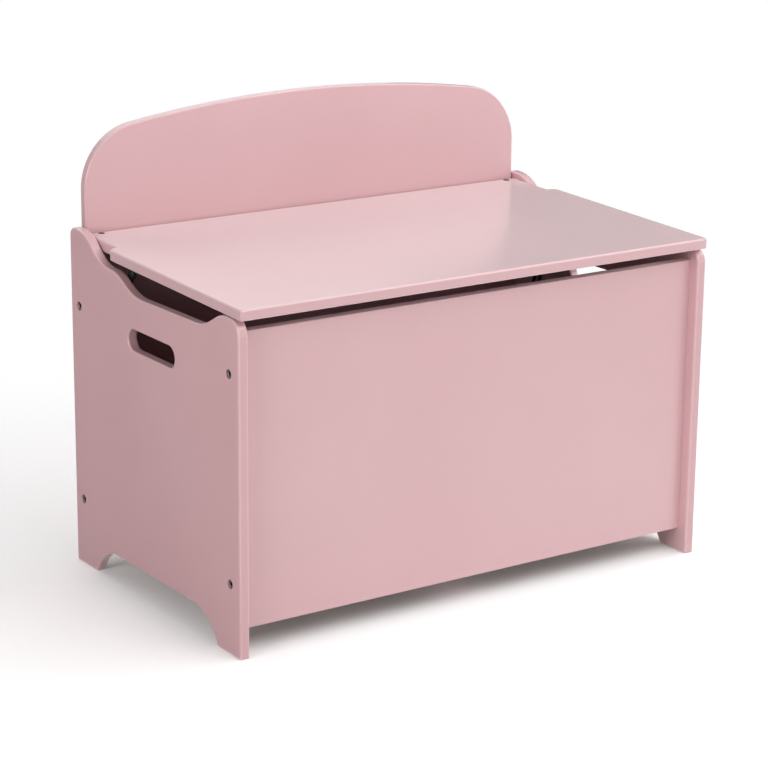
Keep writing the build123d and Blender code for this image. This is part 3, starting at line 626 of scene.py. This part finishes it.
lidTilt = math.radians(1.46)  # the closed lid rises by this towards its back
lidUp = Vector((0, -math.sin(lidTilt), math.cos(lidTilt)))
lidBack = Vector((0, math.cos(lidTilt), math.sin(lidTilt)))
low, high = corners("lid_barrel_nuts", (radius, 0, 0))
copies = []
for x in (low[0], high[0]):
    base = Vector((x, (low[1] + high[1]) / 2, (low[2] + high[2]) / 2)) - lidUp * length / 2000
    copies.append((nutMesh, placed(base, lidUp)))
addPiece("lidBarrelNuts", copies, "lid", ["lid_barrel_nuts"], platedSteel)
print("barrel nuts in place")

# Fluted dowels: the flutes let glue and air out
dowel = {"radius": 4.0, "length": 30.0, "ease": 1.2, "easeIn": 1.0, "flutes": 24, "fluteDepth": 0.3}


def fluted(angle):
    return dowel["radius"] - dowel["fluteDepth"] * abs(math.sin(angle * dowel["flutes"] / 2))


radius, length, ease = dowel["radius"], dowel["length"], dowel["ease"]
dowelMesh = stackRings("dowel", [
    (0.0, radius - dowel["easeIn"]),
    (ease, fluted),
    (length - ease, fluted),
    (length, radius - dowel["easeIn"]),
], segments=6 * dowel["flutes"])
for panelName in ("front", "back"):
    node = f"{panelName}_panel_dowels"
    low, high = corners(node, (0, radius, radius))
    copies = []
    for x, direction in ((low[0], 1), (high[0], -1)):
        for z in (low[2], high[2]):
            copies.append((dowelMesh, placed((x, low[1], z), (direction, 0, 0))))
    beech = beechWood(f"beechRod{panelName.title()}", 0)
    addPiece(f"{panelName}PanelDowels", copies, "box", [node], ([beech], "beech_dowel"))
low, high = corners("rail_dowels", (radius, 0, radius))
copies = []
for y, direction in ((low[1], 1), (high[1], -1)):
    for x in (low[0], high[0]):
        copies.append((dowelMesh, placed((x, y, low[2]), (0, direction, 0))))
addPiece("railDowels", copies, "box", ["rail_dowels"], ([beechWood("beechRodRail", 1)], "beech_dowel"))

# Countersunk wood screws with a cross recess
woodScrew = {
    "headRadius": 3.6, "headHeight": 1.6, "neckRadius": 1.8,
    "recessLength": 3.6, "recessWidth": 1.0, "recessDepth": 1.1,
    "recessTaper": (1.4, 0.3),  # how much shorter and narrower the recess is at its floor
    "threadRadius": 2.0, "threadDepth": 0.7, "pitch": 1.8, "point": 4.0, "runOut": 0.8,
}


def screwMesh(length):
    head, neck = woodScrew["headRadius"], woodScrew["neckRadius"]
    seat = length - woodScrew["headHeight"]
    thread = (woodScrew["threadRadius"], woodScrew["threadDepth"], woodScrew["pitch"])
    long, wide = woodScrew["recessLength"], woodScrew["recessWidth"]
    shorter, narrower = woodScrew["recessTaper"]
    return stackRings("woodScrew", [
        *threadRings(0.0, seat - woodScrew["runOut"], thread, woodScrew["point"]),
        (seat - 0.3, neck - 0.2),
        (seat, neck),
        (length - 0.25, head - 0.05),
        (length - 0.1, head),
        (length, head - 0.15),
        (length, crossRecess(long, wide)),
        (length - 0.3, crossRecess(long - 0.2, wide - 0.05)),
        (length - woodScrew["recessDepth"], crossRecess(long - shorter, wide - narrower)),
    ], segments=72)


def addScrews(name, node, body, direction, columns, rows, finish):
    # a grid of screws whose heads lie at the node's face towards direction
    axis = [abs(round(part)) for part in direction].index(1)
    low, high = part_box(node)
    mesh = screwMesh((high[axis] - low[axis]) * 1000)
    flatAxes = [other for other in range(3) if other != axis]
    radius = woodScrew["headRadius"] / 1000
    copies = []
    for column in range(columns):
        for row in range(rows):
            tip = [0.0, 0.0, 0.0]
            tip[axis] = low[axis] if direction[axis] > 0 else high[axis]
            for count, step, flat in ((columns, column, flatAxes[0]), (rows, row, flatAxes[1])):
                share = step / (count - 1) if count > 1 else 0.5
                tip[flat] = low[flat] + radius + share * (high[flat] - low[flat] - 2 * radius)
            copies.append((mesh, placed(tip, direction)))
    addPiece(name, copies, body, [node], finish)


addScrews("floorScrews", "floor_screws", "box", (0, 0, 1), 1, 3, platedSteel)
addScrews("backrestScrews", "backrest_screws", "box", (0, 1, 0), 4, 2, platedSteel)
print("dowels and screws in place")

# Clear bumpers, domed, stuck on the front humps
bumper = {
    "radius": 4.0,
    "height": 1.2,
    "rim": 0.2,  # share of the height that stands straight
    "crown": 0.35,  # share of the radius that the dome closes to
    "flat": 0.3,  # share of the radius that is flat on top
    "steps": 8,
}
radius, height, rim, crown = bumper["radius"], bumper["height"], bumper["rim"], bumper["crown"]
dome = [(0.0, radius), (height * rim, radius)]
for step in range(1, bumper["steps"]):
    angle = math.pi / 2 * step / bumper["steps"]
    rise = rim + (1 - rim) * math.sin(angle)
    dome.append((height * rise, radius * (crown + (1 - crown) * math.cos(angle))))
dome.append((height, radius * bumper["flat"]))
bumperMesh = stackRings("bumper", dome)
low, high = corners("lid_bumpers", (radius, radius, 0))
copies = [(bumperMesh, placed((x, low[1], low[2]), (0, 0, 1))) for x in (low[0], high[0])]
addPiece("lidBumpers", copies, "box", ["lid_bumpers"], castBumper)

# Lid pivots: a socketed pin that runs in a flanged bushing
pivot = {
    "pinRadius": 4.0, "pinEase": 0.5, "shoulderEase": 0.3, "threadLength": 15.0,
    "undercut": 2.4,  # radius of the groove between thread and shoulder
    "socketFlats": 4.0, "socketEase": 0.3, "socketDepth": 4.0,
    "bushingRadius": 6.0, "bushingBore": 4.04, "boreEase": 0.4,
    "flangeRadius": 8.0, "flangeThickness": 0.8,
}
length = lengthOf("left_pivot_pin")
radius, shoulder, ease = pivot["pinRadius"], pivot["threadLength"], pivot["shoulderEase"]
flats, socketEase, floor = pivot["socketFlats"], pivot["socketEase"], length - pivot["socketDepth"]
pinRings = [
    *boltTip(shoulder - boltThread["runOut"]),
    (shoulder, pivot["undercut"]),
    (shoulder, radius - ease),
    (shoulder + ease, radius),
    (length - pivot["pinEase"], radius),
    (length, radius - pivot["pinEase"]),
    (length, hexagon(flats + 2 * socketEase)),
    (length - socketEase, hexagon(flats)),
    (floor, hexagon(flats)),
    (floor - 0.6, 0.2),
]
# faces from the socket's wall inwards take the second material, painted shade
pinMesh = stackRings("pivotPin", pinRings, secondFinish=len(pinRings) - 3)
length = lengthOf("left_pivot_bushing")
flange, thick, radius = pivot["flangeRadius"], pivot["flangeThickness"], pivot["bushingRadius"]
bore, ease = pivot["bushingBore"], pivot["boreEase"]
bushingMesh = stackRings("pivotBushing", [
    (0.0, bore + ease),
    (0.0, flange - 0.2),
    (0.1, flange - 0.05),
    (0.25, flange),
    (thick, flange),
    (thick, radius),
    (length - 0.5, radius),
    (length, radius - 0.4),
    (length, bore + ease),
    (length - ease, bore),
    (ease, bore),
], segments=64, hollow=True)

# Lid stays: flat black steel with eased edges, a slotted arm that slides on a stud
stay = {
    "steel": 2.0, "easing": 0.3,
    "armWidth": 14.0,
    "armPlay": 0.07,  # round the rivet
    "slotRadius": 3.2, "slotBeforeStud": 0.5, "slotBeforeEnd": 3.0,
    "plateLength": 48.0, "plateWidth": 20.0, "screwSpacing": 30.0, "screwHole": 3.65,
    "studRadius": 3.0, "studThread": 9.5, "studThreadDepth": 0.5,
    "studTip": (0.7, 2.2),  # length and radius
    "washerRadius": 8.0, "washerBore": 3.1, "washerThickness": 1.0, "washerEase": 0.15,
    "rivetRadius": 2.5, "rivetHead": 4.5, "rivetHeadHeight": 1.3,
}
bracket = {
    "length": 50.0, "flangeWidth": 24.0, "cornerRadius": 3.0,
    "rivetBelowLid": 13.0, "noseRadius": 8.0,
    "bendRadius": 1.5, "bendSteps": 8,
    "screwFromWeb": 12.0, "screwSpacing": 32.0, "screwLength": 12.0,
}
locknut = {
    "flats": 10.0, "height": 5.0,
    "chamfer": [(0.0, 5.0), (0.35, 5.45), (0.6, 6.0), (3.1, 6.0), (3.35, 5.45), (3.6, 5.0)],
    "collar": [(3.7, 4.6), (4.6, 4.5), (5.0, 4.2)],
    "bore": 3.05,
    "boreEase": (0.3, 3.4),  # height and radius at the foot
    "insertFrom": 3.9, "insertTop": 4.9, "insertBore": 3.0, "insertRadius": 3.7,
}
springWasher = {
    "innerRadius": 3.3, "outerRadius": 7.0, "thickness": 0.95, "lift": 0.25,
    "gap": 16.0,  # degrees
    "steps": 60,
}


def arcPoints(centre, radius, start, stop, steps=14):
    # start and stop in degrees
    points = []
    for step in range(steps + 1):
        angle = math.radians(start + (stop - start) * step / steps)
        points.append((centre[0] + radius * math.cos(angle), centre[1] + radius * math.sin(angle)))
    return points


def longHole(start, stop, radius):
    # a slot or rounded bar along X
    return arcPoints((stop, 0), radius, -90, 90) + arcPoints((start, 0), radius, 90, 270)


def roundHole(x, y, radius):
    # 48 points, without the first again at the end
    return arcPoints((x, y), radius, 0, 352.5, 47)


def flatBlank(name, edges):
    # the stays' sheet steel: the first outline is the edge, and the others are holes, in mm
    drawing = bpy.data.curves.new(name, "CURVE")
    drawing.dimensions = "2D"
    drawing.fill_mode = "BOTH"
    drawing.extrude = (stay["steel"] / 2 - stay["easing"]) / 1000
    drawing.bevel_depth = stay["easing"] / 1000
    drawing.bevel_resolution = 2
    drawing.offset = -stay["easing"] / 1000
    for index, points in enumerate(edges):
        if index:
            points = points[::-1]
        line = drawing.splines.new("POLY")
        line.points.add(len(points) - 1)
        for corner, (x, y) in zip(line.points, points):
            corner.co = (x / 1000, y / 1000, 0, 1)
        line.use_cyclic_u = True
    holder = addObject(name, drawing)
    mesh = evaluated(holder)
    bpy.data.objects.remove(holder)
    build = bmesh.new()
    build.from_mesh(mesh)
    bmesh.ops.remove_doubles(build, verts=build.verts, dist=1e-6)
    return finishMesh(build, name)


def foldBracket():
    # flat blank, then the flange is folded over: X becomes the reach inwards, Z the height
    outer = bracket["bendRadius"] + stay["steel"]
    middleRadius = bracket["bendRadius"] + stay["steel"] / 2
    bendStart = bracket["flangeWidth"] - outer
    bendStop = bendStart + middleRadius * math.pi / 2
    noseAt = bendStop + bracket["rivetBelowLid"] - outer
    half, corner = bracket["length"] / 2, bracket["cornerRadius"]
    edge = [
        (0, half - corner),
        *arcPoints((corner, half - corner), corner, 180, 90, 6),
        (bendStop, half),
        *arcPoints((noseAt, 0), bracket["noseRadius"], 90, -90),
        (bendStop, -half),
        *arcPoints((corner, -half + corner), corner, 270, 180, 6),
    ]
    screwAt = bracket["flangeWidth"] - bracket["screwFromWeb"]
    holes = [
        roundHole(screwAt, -bracket["screwSpacing"] / 2, stay["screwHole"]),
        roundHole(screwAt, bracket["screwSpacing"] / 2, stay["screwHole"]),
        roundHole(noseAt, 0, stay["rivetRadius"]),
    ]
    build = bmesh.new()
    build.from_mesh(flatBlank("lidBracket", [points[::-1] for points in [edge, *holes]]))
    for step in range(bracket["bendSteps"] + 1):
        cut = (bendStart + (bendStop - bendStart) * step / bracket["bendSteps"]) / 1000
        everything = [*build.verts, *build.edges, *build.faces]
        bmesh.ops.bisect_plane(build, geom=everything, plane_co=(cut, 0, 0), plane_no=(1, 0, 0))
    for vert in build.verts:
        along, sideways, lift = [part * 1000 for part in vert.co]
        turn = min(max((along - bendStart) / middleRadius, 0), math.pi / 2)
        reach = outer - middleRadius * math.sin(turn) - lift * math.sin(turn) + max(bendStart - along, 0)
        height = -outer + middleRadius * math.cos(turn) + lift * math.cos(turn) - max(along - bendStop, 0)
        vert.co = Vector((reach, sideways, height)) / 1000
    return finishMesh(build, "lidBracket")


def rivetHead():
    # heights and radii of the domed head, from its top down
    rings = []
    steps = 6
    for step in range(steps + 1):
        angle = math.pi / 2 * step / steps
        depth = stay["rivetHeadHeight"] * (1 - math.cos(angle))
        rings.append((depth, max(stay["rivetHead"] * math.sin(angle), 0.1)))
    return rings


def splitWasher():
    # one sprung turn of square wire
    build = bmesh.new()
    inner, outer, thick = [springWasher[key] for key in ("innerRadius", "outerRadius", "thickness")]
    steps, gap = springWasher["steps"], springWasher["gap"]
    loops = []
    for step in range(steps + 1):
        angle = math.radians(gap / 2 + (360 - gap) * step / steps)
        lift = springWasher["lift"] * step / steps
        section = ((inner, 0.0), (outer, 0.0), (outer, thick), (inner, thick))
        loops.append([addCorner(build, across, angle, height + lift) for across, height in section])
    for before, after in zip(loops, loops[1:]):
        for corner in range(4):
            following = (corner + 1) % 4
            build.faces.new((before[corner], before[following], after[following], after[corner]))
    build.faces.new(loops[0])
    build.faces.new(loops[-1])
    return finishMesh(build, "springWasher")


stud, rivet = middle("left_stay_stud"), middle("left_stay_rivet")
studDistance = math.hypot(stud[1] - rivet[1], stud[2] - rivet[2]) * 1000
low, high = corners("left_stay_arm", (0, stay["armWidth"] / 2, stay["armWidth"] / 2))
armLength = math.hypot(high[1] - rivet[1], low[2] - rivet[2]) * 1000
armMesh = flatBlank("stayArm", [
    longHole(0, armLength, stay["armWidth"] / 2),
    longHole(studDistance - stay["slotBeforeStud"], armLength - stay["slotBeforeEnd"], stay["slotRadius"]),
    roundHole(0, 0, stay["rivetRadius"] + stay["armPlay"]),
])
plateReach = (stay["plateLength"] - stay["plateWidth"]) / 2
plateMesh = flatBlank("stayPlate", [
    longHole(-plateReach, plateReach, stay["plateWidth"] / 2),
    roundHole(0, 0, stay["studRadius"]),
    roundHole(-stay["screwSpacing"] / 2, 0, stay["screwHole"]),
    roundHole(stay["screwSpacing"] / 2, 0, stay["screwHole"]),
])
bracketMesh = foldBracket()
length, radius = lengthOf("left_stay_stud"), stay["studRadius"]
tipLength, tipRadius = stay["studTip"]
thread = (radius, stay["studThreadDepth"], boltThread["pitch"])
studMesh = stackRings("stayStud", [
    (0.0, radius),
    (length - stay["studThread"], radius),
    *threadRings(length - stay["studThread"], length - tipLength, thread),
    (length, tipRadius),
])
radius, bore = stay["washerRadius"], stay["washerBore"]
thick, ease = stay["washerThickness"], stay["washerEase"]
washerMesh = stackRings("frictionWasher", [
    (0.0, bore), (0.0, radius - ease), (ease, radius),
    (thick - ease, radius), (thick, radius - ease), (thick, bore),
], hollow=True)
insertFrom, insertTop = locknut["insertFrom"], locknut["insertTop"]
insertBore, insertRadius = locknut["insertBore"], locknut["insertRadius"]
locknutMesh = stackRings("locknut", [
    (0.0, locknut["boreEase"][1]),
    *[(height, hexagon(locknut["flats"], limit)) for height, limit in locknut["chamfer"]],
    *locknut["collar"],
    (locknut["height"], insertRadius),
    (insertFrom, insertRadius),
    (insertFrom, locknut["bore"]),
    (locknut["boreEase"][0], locknut["bore"]),
], segments=72, hollow=True)
insertMesh = stackRings("locknutInsert", [
    (insertFrom, insertBore),
    (insertFrom, insertRadius),
    (insertTop - 0.1, insertRadius),
    (insertTop, insertRadius - 0.2),
    (insertTop, insertBore + 0.1),
    (insertTop - 0.2, insertBore),
], hollow=True)
length, radius, height = lengthOf("left_stay_rivet"), stay["rivetRadius"], stay["rivetHeadHeight"]
rivetMesh = stackRings("stayRivet", [
    *rivetHead(),
    (height, radius),
    (length - height, radius),
    *[(length - depth, reach) for depth, reach in reversed(rivetHead())],
])
springMesh = splitWasher()

for sideName, side in (("left", -1), ("right", 1)):
    inward = Vector((-side, 0, 0))
    hinge, stud, rivet = [middle(sideName + part) for part in ("_pivot_pin", "_stay_stud", "_stay_rivet")]
    plateX, armX = [middle(sideName + part)[0] for part in ("_stay_side_plate", "_stay_arm")]
    plateLie = flatPlate((plateX, stud[1], stud[2]), (0, 1, 0), inward)
    armLie = flatPlate((armX, rivet[1], rivet[2]), (0, stud[1] - rivet[1], stud[2] - rivet[2]), inward)
    top = Vector((endOf(f"{sideName}_stay_lid_bracket", side), rivet[1], rivet[2]))
    top += lidUp * bracket["rivetBelowLid"] / 1000
    bracketLie = Matrix.Translation(top) @ Matrix((inward, lidBack, lidUp)).transposed().to_4x4()
    hardware = {
        # piece: mesh, CAD node, body, finish, and how it lies, or its axis and the ends it starts from
        "PivotPin": (pinMesh, "pivot_pin", "lid", socketedSteel, hinge, -side),
        "PivotBushing": (bushingMesh, "pivot_bushing", "box", mouldedNylon, hinge, -side),
        "StayPlate": (plateMesh, "stay_side_plate", "box", coatedSteel, plateLie),
        "StayArm": (armMesh, "stay_arm", f"{sideName}_stay_arm", coatedSteel, armLie),
        "LidBracket": (bracketMesh, "stay_lid_bracket", "lid", coatedSteel, bracketLie),
        "StayStud": (studMesh, "stay_stud", "box", coatedSteel, stud, side),
        "FrictionWashers": (washerMesh, "stay_friction_washers", "box", mouldedNylon, stud, side, -side),
        "SpringWasher": (springMesh, "stay_spring_washer", "box", coatedSteel, stud, side),
        "Locknut": (locknutMesh, "stay_locknut", "box", coatedSteel, stud, side),
        "LocknutInsert": (insertMesh, "stay_locknut", "box", mouldedNylon, stud, side),
        "StayRivet": (rivetMesh, "stay_rivet", "lid", coatedSteel, rivet, side),
    }
    for name, (mesh, part, body, finish, place, *ends) in hardware.items():
        node = f"{sideName}_{part}"
        copies = [intoNode(mesh, node, end, place) for end in ends] or [(mesh, place)]
        # the insert is part of the locknut, which stands for both
        addPiece(sideName + name, copies, body, [] if mesh is insertMesh else [node], finish)
    addScrews(f"{sideName}StayScrews", f"{sideName}_stay_side_screws", "box", inward, 2, 1, coatedSteel)

    # the bracket's screws stand square to the tilted lid
    mesh = screwMesh(bracket["screwLength"])
    copies = []
    for shift in (-bracket["screwSpacing"] / 2000, bracket["screwSpacing"] / 2000):
        face = top + inward * bracket["screwFromWeb"] / 1000 + lidBack * shift
        tip = face - lidUp * stay["steel"] / 1000 + lidUp * bracket["screwLength"] / 1000
        copies.append((mesh, placed(tip, -lidUp)))
    addPiece(f"{sideName}BracketScrews", copies, "lid", [f"{sideName}_stay_bracket_screws"], coatedSteel)
print("pivots and lid stays in place")

# Camera: the angle and framing of a studio shot from the front left, slightly above
cameraSettings = {
    "place": (-1.9577, -2.8655, 1.2685),
    "turn": (73.774, -0.556, -34.034),
    "lens": 119.44,
    "sensorWidth": 36.0,
}
cameraData = bpy.data.cameras.new("studioCamera")
cameraData.sensor_width = cameraSettings["sensorWidth"]
cameraData.lens = cameraSettings["lens"]
camera = addObject("studioCamera", cameraData)
camera.location = cameraSettings["place"]
camera.rotation_euler = Euler([math.radians(part) for part in cameraSettings["turn"]], "XYZ")
bpy.context.scene.camera = camera

# Studio: white paper floor, soft lamps, white surroundings
studio = {
    # lengths in metres
    "floorColor": "#F4F4F4",
    "floorSize": 40.0,
    "skyStrength": 0.23,
    "floorLift": 0.2,  # seen but not cast, so that lit paper reads as white
    "shadeReach": 0.15,  # ambient occlusion takes the lift away this near to the box, a painted shade that deepens its contact shadow
    "fadeFrom": 0.75,
    "fadeTo": 1.6,
}


def addSheet(name, start, stop, material):
    # a sheet between two corners, upright or lying, part of the studio and not of the box
    (left, front, bottom), (right, back, top) = start, stop
    outline = [(left, front, bottom), (right, back, bottom), (right, back, top), (left, front, top)]
    if bottom == top:
        outline = [(left, front, top), (right, front, top), (right, back, top), (left, back, top)]
    mesh = bpy.data.meshes.new(name)
    mesh.from_pydata(outline, [], [(0, 1, 2, 3)])
    mesh.materials.append(material)
    sheet = addObject(name, mesh)
    return sheet


paper, tree = newMaterial("studioPaper")
spot = addNode(tree, "TexCoord").outputs["Object"]
distance = addNode(tree, "VectorMath", {"operation": "LENGTH"}, {0: spot})
far = addNode(tree, "MapRange", {
    "interpolation_type": "SMOOTHSTEP", "From Min": studio["fadeFrom"], "From Max": studio["fadeTo"],
}, {"Value": distance})
ray = addNode(tree, "LightPath").outputs
mirrored = addNode(tree, "Math", {"operation": "MAXIMUM"},
                   {0: ray["Is Glossy Ray"], 1: ray["Is Transmission Ray"]})
seen = addNode(tree, "Math", {"operation": "MAXIMUM"}, {0: ray["Is Camera Ray"], 1: mirrored})
# painted contact shadow: ambient occlusion takes the lift away near the box
opening = addNode(tree, "AmbientOcclusion", {"Distance": studio["shadeReach"]})
opening = addNode(tree, "Math", {"operation": "SQRT"}, {0: opening.outputs["AO"]})
opening = addNode(tree, "Math", {"operation": "MULTIPLY"}, {0: opening, 1: ray["Is Camera Ray"]})
lift = addNode(tree, "Math", {"operation": "MAXIMUM"}, {0: opening, 1: mirrored})
lift = addNode(tree, "Math", {"operation": "MULTIPLY", 1: studio["floorLift"]}, {0: lift})
share = addNode(tree, "Math", {"operation": "MULTIPLY"}, {0: seen, 1: far})
sheet = addNode(tree, "BsdfDiffuse", {"Color": studio["floorColor"]})
glow = addNode(tree, "Emission", None, {"Strength": lift})
lit = addNode(tree, "AddShader", None, {0: sheet, 1: glow})
white = addNode(tree, "Emission", {"Strength": 1.0})
mixed = addNode(tree, "MixShader", None, {0: share, 1: lit, 2: white})
addNode(tree, "OutputMaterial", None, {"Surface": mixed})
reach = studio["floorSize"] / 2
addSheet("studioFloor", (-reach, -reach, 0), (reach, reach, 0), paper)

world = bpy.data.worlds.new("studioWorld")
bpy.context.scene.world = world
world.use_nodes = True
tree = world.node_tree
tree.nodes.clear()
ray = addNode(tree, "LightPath").outputs
seen = addNode(tree, "Math", {"operation": "MAXIMUM"}, {0: ray["Is Camera Ray"], 1: ray["Is Glossy Ray"]})
seen = addNode(tree, "Math", {"operation": "MAXIMUM"}, {0: seen, 1: ray["Is Transmission Ray"]})
ambient = addNode(tree, "Background", {"Color": "#FFFFFF", "Strength": studio["skyStrength"]})
white = addNode(tree, "Background", {"Color": "#FFFFFF", "Strength": 1.0})
mixed = addNode(tree, "MixShader", None, {0: seen, 1: ambient, 2: white})
addNode(tree, "OutputWorld", None, {"Surface": mixed})

lamps = [
    # name, place, aimed at, width and height in metres, power in watts
    ("topSoftbox", (1.4, -0.9, 2.5), (0.0, 0.0, 0.3), 2.2, 2.0, 37.0),
    ("frontTopSoftbox", (0.3, -2.4, 2.3), (0.0, -0.2, 0.2), 1.8, 1.4, 28.0),
    ("backTopSoftbox", (0.5, 2.3, 2.7), (0.0, 0.0, 0.45), 2.8, 1.4, 19.0),
    ("leftFill", (-3.2, -0.9, 1.3), (0.0, 0.0, 0.3), 1.6, 1.6, 47.0),
    ("frontRightKey", (1.6, -3.0, 0.5), (0.0, -0.2, 0.15), 2.6, 0.9, 8.5),
    ("rightFill", (3.2, 0.3, 1.2), (0.0, 0.0, 0.3), 1.6, 1.6, 20.0),
    ("backFill", (-0.8, 3.4, 1.4), (0.0, 0.0, 0.3), 1.8, 1.4, 22.0),
]
for name, place, aim, width, height, power in lamps:
    lampData = bpy.data.lights.new(name, "AREA")
    lampData.shape = "RECTANGLE"
    lampData.size = width
    lampData.size_y = height
    lampData.energy = power
    lamp = addObject(name, lampData)
    lamp.location = place
    lamp.rotation_euler = (Vector(aim) - Vector(place)).to_track_quat("-Z", "Y").to_euler()

# Grey cloths round the box: only reflections see them, and they keep white haze off its side and lid
cloths = [
    # name, grey and two corners
    ("backCloth", "#E4E4E4", (-0.6, 2.2, 0.0), (1.55, 2.2, 1.9)),
    ("rightBackCloth", "#4C4C4C", (1.55, 2.2, 0.0), (4.6, 2.2, 2.6)),
    ("leftBackCloth", "#383838", (-3.6, 2.2, 0.0), (-0.6, 2.2, 3.0)),
    ("leftCloth", "#383838", (-3.6, -0.2, 0.0), (-3.6, 2.2, 3.0)),
    ("leftFloorCloth", "#383838", (-3.6, -0.4, 0.001), (-0.386, 2.2, 0.001)),
]
for name, grey, start, stop in cloths:
    cloth, tree = newMaterial(name)
    dim = addNode(tree, "Emission", {"Color": grey, "Strength": 1.0})
    addNode(tree, "OutputMaterial", None, {"Surface": dim})
    panel = addSheet(name, start, stop, cloth)
    panel.visible_camera = False
    panel.visible_diffuse = False
    panel.visible_transmission = False
    panel.visible_shadow = False
bpy.context.scene.view_settings.view_transform = "Standard"
print("studio ready")
